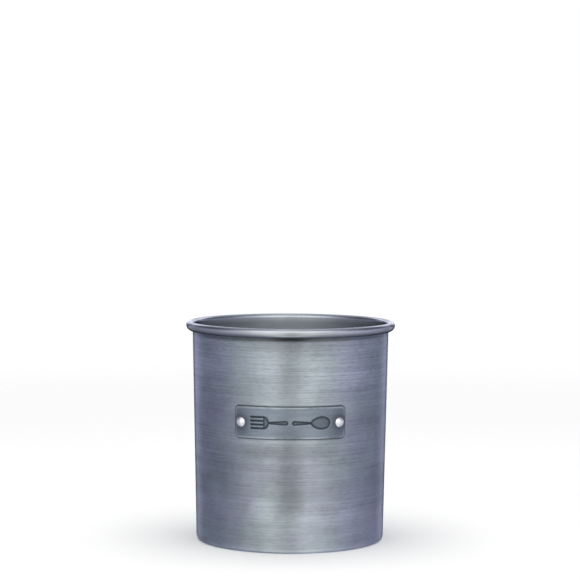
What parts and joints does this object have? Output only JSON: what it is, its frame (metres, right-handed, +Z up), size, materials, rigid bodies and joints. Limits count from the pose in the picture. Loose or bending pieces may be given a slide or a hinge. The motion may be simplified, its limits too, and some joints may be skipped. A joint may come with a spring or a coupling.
{
  "type": "utensil holder",
  "caption": "Free-standing round utensil holder in brushed sheet steel, slightly tapered, with a rolled rim and a curved riveted label plate.",
  "frame": {"origin": "on the surface that the holder stands on, under the middle of the can", "axes": "+Z is up, through the middle of the mouth; the label plate faces -Y; +X is to the right for someone who faces the label"},
  "size_m": [0.1383, 0.1382, 0.145],
  "materials": {
    "brushed_wall": "brushed round the can outside, satin inside",
    "base_sheet": "satin",
    "label_plate": "darker grey, pressed and lightly brushed",
    "polished_rivet": "polished"
  },
  "bodies": {
    "root": {"body_wall": "brushed_wall", "base_pan": "base_sheet", "label_plate": "label_plate", "rivet_left": "polished_rivet", "rivet_right": "polished_rivet"}
  },
  "joints": []
}
